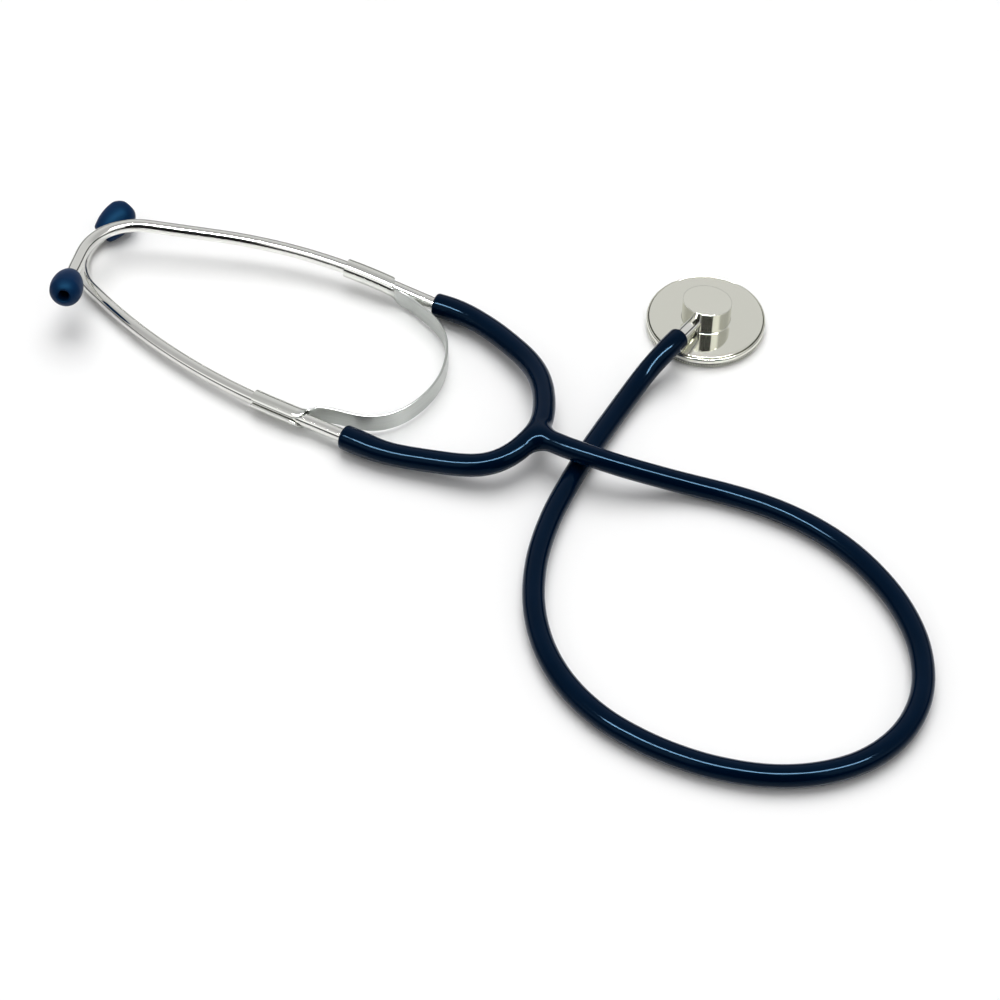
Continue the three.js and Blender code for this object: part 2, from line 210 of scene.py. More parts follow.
def turned(name, origin, axis, profile, sides, sharp=35):
    """A lathe-turned shape: origin + s axis + r (cos a side + sin a other side), where the
    profile's rows are distance s along the axis and radius r."""
    s, r = np.asarray(profile, float).T
    axis = np.asarray(axis, float)
    side = unit(np.cross([1.0, 0.0, 0.0], axis))
    a = np.linspace(0, 2 * np.pi, sides, endpoint=False)[:, None]
    round_it = np.cos(a) * side + np.sin(a) * np.cross(axis, side)
    grid = np.asarray(origin) + s[:, None, None] * axis + r[:, None, None] * round_it
    return mesh_piece(name, grid.reshape(-1, 3), ring_faces(len(s), sides), sharp)


def quarter(s, r, radius, start, end, points=7):
    """Rows of an arc in a profile: its centre (s, r), its radius, its first and last angle."""
    angle = np.radians(np.linspace(start, end, points))
    return np.column_stack([s + radius * np.cos(angle), r + radius * np.sin(angle)])


# %% [markdown]
# ## The tubing
# Hospital tubing is one moulding of soft vinyl: a Y whose two arms grip the ear tubes and whose
# long leg grips the stem of the chestpiece. It lies as it was dropped: one U, one wide loop,
# and a crossing where the long leg passes over its own far end. The points are the route's own.

# %% Routes of the tubing
TUBING_RADIUS = 4.1
ARM_RADIUS = 4.35
BORE_RADIUS = 2.75
BORE_DEPTH = 9
REST = TUBING_RADIUS

ARMS_ROUTE = [
    [11.9, -69.6, 5.6], [20.2, -70, 5.6], [27.8, -70.2, 5.6], [35.9, -69.1, 5.7], [43.5, -67.5, 6],
    [51.1, -65.9, 6.5], [58.6, -64.2, 7.2], [65.8, -61.8, 8.2], [71.2, -58, 9.3], [74.9, -52.9, 10.3],
    [77.1, -47.4, 11.1], [78.4, -42, 11.6], [78.2, -36.2, 11.2], [76.6, -30.2, 10.5], [74, -24.1, 9.7],
    [70, -16.9, 8.8], [64, -9.7, 7.9], [56.5, -4, 7], [49.1, -0.2, 6.4], [41.4, 3.2, 6],
    [33.9, 5.8, 5.7], [26.4, 7.5, 5.6], [19.1, 8, 5.6], [11.2, 7.5, 5.6],
]
MAIN_ROUTE = [
    [78.4, -42, 11.6], [85.6, -42.7, 12.2], [92.8, -43.4, 12.6], [99.7, -43.3, 12.7],
    [106, -42.9, 12.3], [113.1, -41.6, 11.1], [121.4, -39.2, 9.1], [129.4, -36.6, 7],
    [136.8, -34.3, 5.3], [144.2, -32.5, 4.4], [152, -31.2, REST], [167.6, -30.2, REST],
    [183.5, -31.4, REST], [199.5, -35.5, REST], [214.9, -42.9, REST], [229.1, -53.5, REST],
    [240.6, -67.5, REST], [247.5, -85.1, REST], [247.2, -102.7, REST], [240.4, -118.4, REST],
    [229, -130.3, REST], [213.8, -139.2, REST], [196.3, -144.3, REST], [181.7, -145.9, REST],
    [166.7, -145.4, REST], [151.5, -142.5, REST], [135.8, -135.6, REST], [122.3, -125, REST],
    [110.9, -110, REST], [103, -91.8, REST], [98.8, -71.8, REST], [97.6, -52, REST],
    [97.7, -31.6, REST], [98.8, -12.6, REST], [99.8, -1.6, 4.8], [101.1, 7.6, 6.3], [102.7, 13.4, 8.4],
    [104.5, 18, 10.4], [105.8, 22.2, 11.7],
]
JUNCTION = np.array([78.4, -42.0, 11.6])

HEAD_CENTRE = np.array([109.8, 49.0, 0.0])
PLATE_TOP = 5.0
KNOB_RADIUS = 9.7
STEM_HEIGHT = 4.9
STEM_END = 21.0
RISE, HEADING = radians(9.5), radians(-97)
STEM_AXIS = np.array([np.cos(HEADING) * np.cos(RISE), np.sin(HEADING) * np.cos(RISE), np.sin(RISE)])
STEM_ROOT = HEAD_CENTRE + [0, 0, PLATE_TOP + STEM_HEIGHT - KNOB_RADIUS * np.tan(RISE)]

mouth_points = [STEM_ROOT + STEM_AXIS * (STEM_END + 2.5), STEM_ROOT + STEM_AXIS * (STEM_END + 0.4)]
arms_path = relaxed(through(ARMS_ROUTE), 1.0, 14)
main_path = relaxed(through(MAIN_ROUTE + mouth_points), 1.0, 14)
hub = distances(arms_path)[np.argmin(np.linalg.norm(arms_path - JUNCTION, axis=1))]
print(f"main tube {distances(main_path)[-1]:.0f} mm, arms {distances(arms_path)[-1]:.0f} mm")

# %% [markdown]
# ## Tubing surfaces
# Each stretch is a round tube with a real mouth: the wall turns in over a soft rim and goes
# down into the bore, where the metal tube sits. The metal stretches it, so it is stoutest at
# the mouth. The other end is closed and buried in the Y.

# %% Cut the three stretches
ARM_REACH = 12.0
LEG_START, LEG_REACH = 4.6, 11.0


def tubing(name, path, radius, swell):
    """One stretch of tubing whose open mouth is at the start of the path. From the mouth the
    radius goes up round the rim, then from radius + swell down to radius in a smooth ramp
    over the metal inside, and drops to the axis at the far end."""
    total = distances(path)[-1]
    mouth = radius + swell
    bore = [[BORE_DEPTH, 0], [BORE_DEPTH, BORE_RADIUS]]
    rim = np.vstack([
        quarter(0.35, BORE_RADIUS + 0.35, 0.35, -90, -180, 4),
        quarter(1.3, mouth - 1.3, 1.3, 180, 90, 9),
    ])
    s = np.arange(2, total, 1.2)
    wall = np.column_stack([s, mouth - swell * ramp(s, 5, 22)])
    return sleeve(name, path, np.vstack([bore, rim, wall, [[total, radius], [total, 0]]]), 40)


def cut(path, start, end):
    """The part of a path between two distances, from start to end, whichever way that is."""
    return at(path, np.linspace(start, end, int(abs(end - start)) + 1))


right_path = cut(arms_path, 0, hub - ARM_REACH)
left_path = cut(arms_path, distances(arms_path)[-1], hub + ARM_REACH)
leg_path = cut(main_path, distances(main_path)[-1], LEG_REACH)
right_arm = tubing("right_arm_tubing", right_path, ARM_RADIUS, 0.45)
left_arm = tubing("left_arm_tubing", left_path, ARM_RADIUS, 0.35)
leg = tubing("long_tubing", leg_path, TUBING_RADIUS, 0.15)
print("tubing:", right_arm.name, left_arm.name, leg.name)

# %% [markdown]
# ## The Y
# Where three tubes meet, the mould leaves soft webs in the corners. Such a form has no simple
# profile. It is the skin where a distance is zero: the distance to the U and the distance to
# the leg, joined by a minimum that is rounded off. A rough joined skin is remeshed into even
# faces, and its points are then slid onto the true one.

# %% Rounded minimum of two tubes
WEB = 5.0
UNDER = 0.015
ROD_REACH = 14


def from_line(points, line):
    """Distance from each point to the nearest place on a line of short straight parts."""
    a, b = line[:-1], line[1:]
    run = b - a
    t = np.einsum("nks,ks->nk", points[:, None] - a, run) / (run**2).sum(1)
    nearest = a + np.clip(t, 0, 1)[..., None] * run
    return np.linalg.norm(points[:, None] - nearest, axis=2).min(1)


def to_skin(points):
    """Signed distance to the Y: the smaller of the two tube distances, less a quarter of the
    web size times the square of how nearly equal they are."""
    u = from_line(points, u_line) - ARM_RADIUS + UNDER
    v = from_line(points, leg_line) - TUBING_RADIUS + UNDER
    nearly = np.clip(WEB - np.abs(u - v), 0, None) / WEB
    return np.minimum(u, v) - nearly**2 * WEB / 4


def slide_to_skin(points, rounds=4):
    """Each round moves every point back along the slope of the distance by the distance."""
    steps = np.eye(3) * 0.02
    for _ in range(rounds):
        slope = np.stack([to_skin(points + h) - to_skin(points - h) for h in steps], axis=1)
        points = points - to_skin(points)[:, None] * unit(slope)
    return points


# %% [markdown]
# The rough form is two plain rods, one along the U and one along the leg, each a little longer
# than the web. A voxel remesh joins them. The line that the skin measures for the leg starts
# near the U's own skin, so that its round end adds nothing on the far side.

# %% Join rough rods and slide them to the skin
u_line = cut(arms_path, hub - ARM_REACH, hub + ARM_REACH)
leg_line = cut(main_path, LEG_START, LEG_REACH)
rough_parts = []
for line in (cut(arms_path, hub - ROD_REACH, hub + ROD_REACH), cut(main_path, 2, ROD_REACH)):
    s = np.arange(0, distances(line)[-1], 1.0)
    rod = [[0, 0], *np.column_stack([s, np.full(len(s), ARM_RADIUS)]).tolist(), [s[-1], 0]]
    rough_parts.append(sleeve("rough", line, rod, 24))
rough = bmesh.new()
for part in rough_parts:
    rough.from_mesh(part.data)
    bpy.data.objects.remove(part)
junction = bpy.data.objects.new("y_moulding", bpy.data.meshes.new("y_moulding"))
rough.to_mesh(junction.data)
rough.free()
bpy.context.collection.objects.link(junction)
remesh = junction.modifiers.new("even faces", "REMESH")
remesh.mode, remesh.voxel_size = "VOXEL", 0.45 * MM
depsgraph = bpy.context.evaluated_depsgraph_get()
even = bpy.data.meshes.new_from_object(junction.evaluated_get(depsgraph))
junction.modifiers.clear()
junction.data = even
move_points(even, slide_to_skin(points_of(even)))
even.shade_smooth()
print("Y moulding faces:", len(even.polygons))

# %% [markdown]
# ## Ear tubes
# Thin metal tube, bent on round formers and chromed. Its free end goes into the mouth of the
# tubing, and its other end into the ear tip.

# %% Ear tubes
EAR_TUBE_RADIUS = 2.6
EAR_TUBES = {
    "left": (
        [
            [10.8, 7.5, 5.6], [-49.5, 9.2, 9.3], [-128.3, -16.9, 14.3], [-120.1, -49.7, 15.1],
            [-115.3, -59.8, 18.9],
        ],
        [195, 22, 6],
    ),
    "right": (
        [
            [11.5, -69.5, 5.6], [-65.3, -65.6, 4.8], [-136.3, -34.8, 3.3], [-129.7, -17.2, 3.3],
            [-126.2, -6.5, 7.2],
        ],
        [262, 23, 6],
    ),
}


def ear_tube(side):
    """The tube's own line starts inside the tubing and ends just short of the middle of the
    ear tip. Returns the piece, its line, the middle of the tip and the way its nose points."""
    corners, radii = EAR_TUBES[side]
    corners = np.array(corners, float)
    middle, nose = corners[-1].copy(), unit(corners[-1] - corners[-2])
    line = bent([*corners[:-1], middle - nose * 3], radii)
    inside = line[0] + unit(line[0] - line[1]) * 6
    path = relaxed(np.vstack([inside, line]), 0.6, 12)
    total = distances(path)[-1]
    wall = np.linspace(0.4, total - 0.4, int(total / 0.9))
    outer = np.column_stack([wall, np.full(len(wall), EAR_TUBE_RADIUS)])
    near = [[3, 0], [3, 2.0], [0, 2.0], [0, 2.3]]
    far = [[total, 2.3], [total, 2.0], [total - 3, 2.0], [total - 3, 0]]
    piece = sleeve(f"{side}_ear_tube", path, np.vstack([near, outer, far]), 48)
    return piece, line, middle, nose


left_tube, left_line, left_middle, left_nose = ear_tube("left")
right_tube, right_line, right_middle, right_nose = ear_tube("right")
print(f"ear tubes {distances(left_line)[-1]:.0f} and {distances(right_line)[-1]:.0f} mm long")

# %% [markdown]
# ## Ear tips
# Soft vinyl bulbs, moulded round a core. They swell from the open base towards the nose, which
# is blunt and has the sound hole in a small rolled rim. A curve through a few radii, turned
# about the axis, gives the whole form.

# %% Ear tips
TIP_OUTLINE = [
    (-9.8, 3.9), (-9.5, 4.4), (-8.0, 5.05), (-5.6, 5.8), (-3.2, 6.25), (-0.8, 6.42), (1.2, 6.32),
    (3.0, 6.0), (4.4, 5.2), (5.5, 4.2), (6.15, 3.3), (6.32, 2.85), (6.15, 2.45), (5.6, 2.25),
]


def ear_tip(side, middle, nose):
    """A turned form. Its outline goes from the base round the bulb to the rim of the sound
    hole, down the hole to the socket, and out along the socket to the base again."""
    outline = through(TIP_OUTLINE, 7)
    hole = [[-3.2, 2.25], [-3.2, EAR_TUBE_RADIUS + 0.05], [-9.75, EAR_TUBE_RADIUS + 0.05]]
    closed = np.vstack([outline, hole, outline[:1]])
    return turned(f"{side}_ear_tip", middle, nose, closed, 72, 50)


left_tip = ear_tip("left", left_middle, left_nose)
right_tip = ear_tip("right", right_middle, right_nose)
print("ear tips:", left_tip.name, right_tip.name)

# %% [markdown]
# ## The leaf spring
# One stamping of spring steel. In the middle it is a flat strip standing on edge. Towards each
# end it narrows to a neck, then spreads into a flap that is rolled round the ear tube. So its
# cross-section is an arc everywhere: nearly straight in the strip, almost a full ring at the
# clip. It is made in two halves that meet in the middle, because the halves bend apart when
# the headset is opened.

# %% Stamped and rolled strip
STRIP_THICKNESS = 0.9
STRIP_HALF_WIDTH = 4.2
NECK_HALF_WIDTH = 2.9
CLIP_RADIUS = 3.35
UPPER_WRAP, LOWER_WRAP = radians(152), radians(196)
CLIP_LENGTH = 21.5
CLIP_START = 17.7
EDGE_POINTS = 5
STRIP_HEIGHT = 5.3
STRIP_PLAN = [
    [1.8, 3.9], [7.1, 1.9], [12.9, -0.4], [19.2, -4.0], [24.4, -8.8], [27.9, -14.6], [30.2, -20.4],
    [31.8, -28.5], [31.6, -37.0], [29, -46.8], [24.2, -54.6], [18, -59.2], [11.2, -61.0],
    [5.2, -61.7], [-0.8, -63.0],
]


def rounded(t):
    """Rises like a quarter circle from 0 at t = 0 to 1 at t = 1, and stays there."""
    return np.sqrt(1 - (1 - np.clip(t, 0, 1)) ** 2)


def clip_line(line, outward):
    """Where the sheet's middle runs along the clip: the ear tube's line, moved towards the
    middle of the headset by the clip's radius. Goes from the neck to the clip's far end."""
    run = cut(line, CLIP_START, CLIP_START + CLIP_LENGTH)
    _, across, _ = directions(run)
    inward = across * -np.sign(across[:, 1:2]) * outward
    return run + inward * CLIP_RADIUS


def flap(s, neck, end, wrap):
    """Distance from the middle of the sheet to one edge. It narrows to the neck, widens like a
    quarter circle to the flap that is rolled through the angle wrap, and the flap's far corner
    is round. The edge's own rounding, half a thickness, is left off."""
    reach = wrap * CLIP_RADIUS
    narrowing = (STRIP_HALF_WIDTH - NECK_HALF_WIDTH) * ramp(s, neck - 4, neck - 0.8)
    widening = (reach - NECK_HALF_WIDTH) * rounded((s - neck) / 3.5)
    corner = 1.3 * (1 - rounded((end - s) / 1.3))
    return STRIP_HALF_WIDTH - narrowing + widening - corner - STRIP_THICKNESS / 2


def spring_half(name, path, outward, neck):
    """Section at distance s: an arc of curvature c(s) in the plane across the path, bulging to
    the inner side. Loop points are (q, h): q along the arc and h through the sheet, with
    half-round edges. Point = path + toward + upward, where toward = (1 - cos(c q)) / c + h cos(c q)
    goes towards the tube, and upward = (1 / c - h) sin(c q)."""
    end = distances(path)[-1]
    s = np.unique(np.concatenate([np.arange(0, neck - 4, 0.8), np.linspace(neck - 4, end, 170)]))
    _, across, up = directions(path)
    side = at(path, s, across * np.sign(across[:, 1:2]) * outward)
    up = at(path, s, up)
    half = STRIP_THICKNESS / 2
    v = np.linspace(-1, 1, 61)
    edge = np.radians(np.linspace(90, -90, EDGE_POINTS + 2)[1:-1])
    share = np.concatenate([v, np.ones(EDGE_POINTS), v[::-1], -np.ones(EDGE_POINTS)])
    over = np.concatenate([v * 0, np.cos(edge) * half, v * 0, -np.cos(edge[::-1]) * half])
    h = np.concatenate([v * 0 + half, np.sin(edge) * half, v * 0 - half, np.sin(edge[::-1]) * half])
    upper, lower = (flap(s, neck, end, wrap)[:, None] for wrap in (UPPER_WRAP, LOWER_WRAP))
    q = share * np.where(share > 0, upper, lower) + over
    c = 1e-4 + ramp(s, neck - 5, neck + 0.6)[:, None] / CLIP_RADIUS
    toward = (1 - np.cos(c * q)) / c + h * np.cos(c * q)
    upward = (1 / c - h) * np.sin(c * q)
    grid = at(path, s)[:, None] + toward[..., None] * side[:, None] + upward[..., None] * up[:, None]
    rows, columns = grid.shape[:2]
    near = np.arange(len(v) - 1)
    far = 2 * len(v) + EDGE_POINTS - 1 - near
    cap = np.stack([near, near + 1, far - 1, far], axis=1)
    faces = ring_faces(rows, columns) + cap.tolist() + (cap + (rows - 1) * columns).tolist()
    return mesh_piece(name, grid.reshape(-1, 3), faces, 40)


# %% [markdown]
# One line runs from clip to clip. It is cut where it reaches farthest out, which is the middle
# of the strip, and each half is made from there to its own clip.

# %% The two halves
strip = np.array([[x, y, STRIP_HEIGHT] for x, y in STRIP_PLAN])
left_clip = clip_line(left_line, 1)
right_clip = clip_line(right_line, -1)
whole = relaxed(through(np.vstack([left_clip[:1:-4], strip, right_clip[1::4]]), 16), 0.5, 30)
apex = distances(whole)[np.argmax(whole[:, 0])]
neck_left = distances(whole)[np.argmin(np.linalg.norm(whole - left_clip[0], axis=1))]
neck_right = distances(whole)[np.argmin(np.linalg.norm(whole - right_clip[0], axis=1))]
total = distances(whole)[-1]
left_spring = spring_half("left_spring_half", cut(whole, apex, 0), 1, apex - neck_left)
right_spring = spring_half("right_spring_half", cut(whole, apex, total), -1, neck_right - apex)
print(f"spring strip {total:.0f} mm developed")

# %% [markdown]
# ## The chestpiece
# A brass head, turned, polished and chromed. Plate and knob are one profile about an upright
# axis, and the knob's top is cut on the slope of the stem, so each knob point is lifted by its
# share of the knob's height times the slope under it.

# %% Head
PLATE_RADIUS = 22.4
KNOB_HEIGHT = 9.0
head_profile = np.vstack([
    [[1.9, 0], [1.9, 22.0], [2.2, PLATE_RADIUS]],
    quarter(PLATE_TOP - 0.25, PLATE_RADIUS - 0.25, 0.25, 90, 0, 5),
    [[PLATE_TOP, r] for r in np.linspace(21, 11, 6)],
    quarter(PLATE_TOP + 0.2, KNOB_RADIUS + 0.2, 0.2, 180, 270, 5),
    [[PLATE_TOP + h, KNOB_RADIUS] for h in np.linspace(0.6, KNOB_HEIGHT - 0.6, 6)],
    quarter(PLATE_TOP + KNOB_HEIGHT - 0.3, KNOB_RADIUS - 0.3, 0.3, 90, 0, 5),
    [[PLATE_TOP + KNOB_HEIGHT, r] for r in (9.0, 6.0, 3.0, 0)],
])
head = turned("chestpiece_head_turned", HEAD_CENTRE, [0.0, 0.0, 1.0], head_profile, 192, 30)
points = points_of(head.data)
slope_run = (points[:, :2] - HEAD_CENTRE[:2]) @ unit(STEM_AXIS[:2])
share = np.clip((points[:, 2] - PLATE_TOP) / KNOB_HEIGHT, 0, 1)
points[:, 2] += share * slope_run * np.tan(RISE)
move_points(head.data, points)
print("head points:", len(points))

# %% [markdown]
# ## Stem, ring and diaphragm
# The stem is a plain pipe that leaves the knob on a rising slope. The ring screws up from
# below: a bright bead, a groove, and under it a band of fine straight knurling for the fingers.
# A knurl is a ripple of the radius round the ring, so it needs many points round and few up.

# %% Stem and ring
STEM_RADIUS = 2.6
KNURLS = 140
KNURL_DEPTH = 0.45
stem_profile = [
    [5, 0], *[[s, STEM_RADIUS] for s in range(5, 26, 4)],
    [27.2, STEM_RADIUS], [27.4, 2.4], [27.4, 1.6], [20, 1.6], [20, 0],
]
stem = turned("stem_pipe", STEM_ROOT, STEM_AXIS, stem_profile, 48)


def knurl(a, z, r):
    """Share of the full depth cut away at angle a: (1 - cos(N a)) / 2 on the lower band of the
    outer side, fading to nothing at the band's ends."""
    band = ramp(z, 0.05, 0.35) * (1 - ramp(z, 1.7, 1.95)) * (r > 22.3)
    return band * (1 - np.cos(KNURLS * a)) / 2


def ring():
    """A turned ring whose radius at height z and angle a is the profile's, less the knurl's
    depth there. The attribute "groove" keeps that share of the depth, which paints shade into the grooves."""
    profile = np.vstack([
        [[0.8, 20.4], [0.1, 20.4], [0, 20.5], [0, 21.6], [0, 22.5]],
        [[0.12, 22.85], [0.3, 23.1], [0.55, 23.3], [0.9, 23.38], [1.3, 23.38], [1.7, 23.34]],
        [[1.85, 23.2]],
        [[1.95, 23.0], [2.1, 22.9], [2.25, 22.9], [2.4, 23.05]],
        [[2.5, 23.25], [2.75, 23.42], [3.2, 23.5], [3.7, 23.48], [4.15, 23.35], [4.45, 23.12]],
        [[4.55, 22.95], [4.5, 22.78], [4.3, 22.68], [3.0, 22.65], [1.0, 22.65], [0.8, 22.5]],
        [[0.8, 20.4]],
    ])
    z, r = profile.T
    a = np.linspace(0, 2 * np.pi, KNURLS * 6, endpoint=False)
    radius = r[:, None] - KNURL_DEPTH * knurl(a, z[:, None], r[:, None])
    x, y = radius * np.cos(a), radius * np.sin(a)
    grid = np.stack([x, y, np.broadcast_to(z[:, None], x.shape)], axis=-1) + HEAD_CENTRE
    piece = mesh_piece("knurled_ring", grid.reshape(-1, 3), ring_faces(len(z), len(a)), 60)
    groove = piece.data.attributes.new("groove", "FLOAT", "POINT")
    x, y, z = (points_of(piece.data) - HEAD_CENTRE).T
    groove.data.foreach_set("value", knurl(np.arctan2(y, x), z, np.hypot(x, y)).astype(np.float32))
    return piece


knurled_ring = ring()
print("ring:", KNURLS, "knurls")

# %% [markdown]
# ## Finishes
# Each finish is named for what the real thing is made of. A bright metal shows the room, so
# its colour hardly matters and its roughness says everything.


# %% Material helpers
def linear(hex_colour):
    """An sRGB hex colour as linear red, green, blue and alpha: c / 12.92 for the darkest
    values, otherwise ((c + 0.055) / 1.055) to the power 2.4."""
    c = np.array([int(hex_colour[i:i + 2], 16) for i in (1, 3, 5)]) / 255
    c = np.where(c <= 0.04045, c / 12.92, ((c + 0.055) / 1.055) ** 2.4)
    return (*c.tolist(), 1.0)


def node(tree, kind, inputs=(), **settings):
    """Adds a node with its settings. Each input gets a number or colour, or a link."""
    made = tree.nodes.new(kind)
    for name, value in settings.items():
        setattr(made, name, value)
    for name, value in dict(inputs).items():
        if isinstance(value, bpy.types.NodeSocket):
            tree.links.new(value, made.inputs[name])
        else:
            made.inputs[name].default_value = value
    return made


def finish(name, **constants):
    """A new material and its node tree, with the shader's plain numbers already set."""
    material = bpy.data.materials.new(name)
    material.use_nodes = True
    shader = material.node_tree.nodes["Principled BSDF"]
    for socket, value in constants.items():
        shader.inputs[socket.replace("_", " ")].default_value = value
    print("finish:", name)
    return material, material.node_tree, shader


# %% [markdown]
# ### Vinyl tubing
# Plasticised PVC, dip-coated, so it is very glossy, with slow waves from the dip. Its navy is
# deep and hardly scatters, and long reflections run along it.

# %% Plasticised PVC
pvc, tree, shader = finish(
    "plasticised_pvc_dipped", IOR=1.5, Specular_IOR_Level=0.12, Specular_Tint=linear("#9ad2ff"),
    Sheen_Weight=0.16, Sheen_Roughness=0.3, Sheen_Tint=linear("#0080e0"),
)
where = node(tree, "ShaderNodeTexCoord").outputs["Object"]
cloud = node(tree, "ShaderNodeTexNoise", {"Vector": where, "Scale": 45.0, "Detail": 2.0})
tint = node(
    tree, "ShaderNodeMix",
    {0: cloud.outputs["Fac"], 6: linear("#000a1c"), 7: linear("#001127")}, data_type="RGBA",
)
tree.links.new(tint.outputs[2], shader.inputs["Base Color"])
haze = node(tree, "ShaderNodeTexNoise", {"Vector": where, "Scale": 900.0, "Detail": 3.0})
gloss = node(tree, "ShaderNodeMapRange", {"Value": haze.outputs["Fac"], "To Min": 0.07, "To Max": 0.15})
tree.links.new(gloss.outputs["Result"], shader.inputs["Roughness"])
wave = node(tree, "ShaderNodeTexNoise", {"Vector": where, "Scale": 70.0, "Detail": 1.0})
ripple = node(tree, "ShaderNodeBump", {"Height": wave.outputs["Fac"], "Strength": 0.25, "Distance": 0.0008})
tree.links.new(ripple.outputs["Normal"], shader.inputs["Normal"])

# %% [markdown]
# ### Ear tip vinyl
# Softer PVC out of a blasted mould: satin, a little brighter, with a very fine grain.

# %% Soft PVC
soft_pvc, tree, shader = finish(
    "soft_pvc_satin", IOR=1.5, Specular_IOR_Level=0.14, Specular_Tint=linear("#5fc0ff"),
)
where = node(tree, "ShaderNodeTexCoord").outputs["Object"]
cloud = node(tree, "ShaderNodeTexNoise", {"Vector": where, "Scale": 160.0, "Detail": 3.0})
tint = node(
    tree, "ShaderNodeMix",
    {0: cloud.outputs["Fac"], 6: linear("#031a37"), 7: linear("#06264c")}, data_type="RGBA",
)
tree.links.new(tint.outputs[2], shader.inputs["Base Color"])
grain = node(tree, "ShaderNodeTexNoise", {"Vector": where, "Scale": 4000.0, "Detail": 2.0})
gloss = node(tree, "ShaderNodeMapRange", {"Value": grain.outputs["Fac"], "To Min": 0.42, "To Max": 0.56})
tree.links.new(gloss.outputs["Result"], shader.inputs["Roughness"])
skin = node(tree, "ShaderNodeBump", {"Height": grain.outputs["Fac"], "Strength": 0.12, "Distance": 0.0001})
tree.links.new(skin.outputs["Normal"], shader.inputs["Normal"])

# %% [markdown]
# ### Chromium plate
# Polished brass, nickelled and chromed. It is a mirror, warm by a trace, with faint wiping
# marks that only widen the reflections here and there.


# %% Chromium plate
def chromium(name, colour, low, high):
    """Chromium over polish of a given evenness: roughness runs from low to high in clouds."""
    material, tree, shader = finish(name, Metallic=1.0, Base_Color=linear(colour))
    where = node(tree, "ShaderNodeTexCoord").outputs["Object"]
    clouds = {"Vector": where, "Scale": 120.0, "Detail": 4.0, "Roughness": 0.6}
    wiped = node(tree, "ShaderNodeTexNoise", clouds)
    gloss = node(tree, "ShaderNodeMapRange", {"Value": wiped.outputs["Fac"], "To Min": low, "To Max": high})
    tree.links.new(gloss.outputs["Result"], shader.inputs["Roughness"])
    lapped = node(tree, "ShaderNodeTexNoise", {"Vector": where, "Scale": 260.0, "Detail": 2.0})
    lap = {"Height": lapped.outputs["Fac"], "Strength": 0.03, "Distance": 0.0002}
    ripple = node(tree, "ShaderNodeBump", lap)
    tree.links.new(ripple.outputs["Normal"], shader.inputs["Normal"])
    return material, tree, shader


plate_chrome, _, _ = chromium("chromium_on_turned_brass", "#e2e2d8", 0.05, 0.10)
tube_chrome, _, _ = chromium("chromium_on_drawn_tube", "#e2e2de", 0.05, 0.10)

# %% [markdown]
# ### Knurled chromium
# The grooves are darkened in the base colour, as painted shade: the deeper a point lies in a
# knurl, the darker it is painted. The ring's "groove" attribute says how deep each point lies.

# %% Knurled chromium
knurl_chrome, tree, shader = chromium("chromium_over_knurling", "#e2e2d8", 0.05, 0.12)
groove = node(tree, "ShaderNodeAttribute", attribute_name="groove").outputs["Fac"]
# painted shade: the base colour darkens towards the bottom of each knurl groove
groove_shade = node(
    tree, "ShaderNodeMix", {0: groove, 6: linear("#e2e2d8"), 7: linear("#4c4d48")}, data_type="RGBA",
)
tree.links.new(groove_shade.outputs[2], shader.inputs["Base Color"])

# %% [markdown]
# ### Spring steel
# Rolled strip, barrel-polished: satin, with the rolling grain along its length. The clips are
# buffed after they are rolled, so they are as bright as the tubes they hold.

# %% Spring steel
steel, tree, shader = finish("spring_steel_rolled", Metallic=1.0)
where = node(tree, "ShaderNodeTexCoord").outputs["Object"]
along = node(tree, "ShaderNodeSeparateXYZ", {"Vector": where}).outputs["X"]
clips = {"Value": along, "From Min": -0.004, "From Max": -0.0085, "To Min": 0.0, "To Max": 1.0}
buffed = node(tree, "ShaderNodeMapRange", clips).outputs["Result"]
spread = node(tree, "ShaderNodeMapping", {"Vector": where, "Scale": (60.0, 60.0, 2600.0)})
grain = node(tree, "ShaderNodeTexNoise", {"Vector": spread.outputs["Vector"], "Scale": 1.0, "Detail": 3.0})
tint = node(
    tree, "ShaderNodeMix",
    {0: grain.outputs["Fac"], 6: linear("#a9aca9"), 7: linear("#c2c5c2")}, data_type="RGBA",
)
bright = node(
    tree, "ShaderNodeMix", {0: buffed, 6: tint.outputs[2], 7: linear("#dfe0db")}, data_type="RGBA",
)
tree.links.new(bright.outputs[2], shader.inputs["Base Color"])
satin = node(tree, "ShaderNodeMapRange", {"Value": grain.outputs["Fac"], "To Min": 0.26, "To Max": 0.4})
gloss = node(tree, "ShaderNodeMix", {0: buffed, 2: satin.outputs["Result"], 3: 0.08}, data_type="FLOAT")
tree.links.new(gloss.outputs[0], shader.inputs["Roughness"])
rolled = node(tree, "ShaderNodeBump", {"Height": grain.outputs["Fac"], "Strength": 0.06, "Distance": 0.0001})
tree.links.new(rolled.outputs["Normal"], shader.inputs["Normal"])

# %% [markdown]
# ### Diaphragm
# Glass cloth set in epoxy resin: milky, with the weave just showing under a smooth face.

# %% Glass and epoxy
film, tree, shader = finish("glass_epoxy_sheet", IOR=1.52, Roughness=0.3)
where = node(tree, "ShaderNodeTexCoord").outputs["Object"]
warp = node(tree, "ShaderNodeTexWave", {"Vector": where, "Scale": 300.0}, bands_direction="X")
weft = node(tree, "ShaderNodeTexWave", {"Vector": where, "Scale": 300.0}, bands_direction="Y")
weave = node(tree, "ShaderNodeMath", {0: warp.outputs["Fac"], 1: weft.outputs["Fac"]}, operation="MULTIPLY")
tint = node(
    tree, "ShaderNodeMix",
    {0: weave.outputs[0], 6: linear("#cfcfc4"), 7: linear("#e2e2da")}, data_type="RGBA",
)
tree.links.new(tint.outputs[2], shader.inputs["Base Color"])
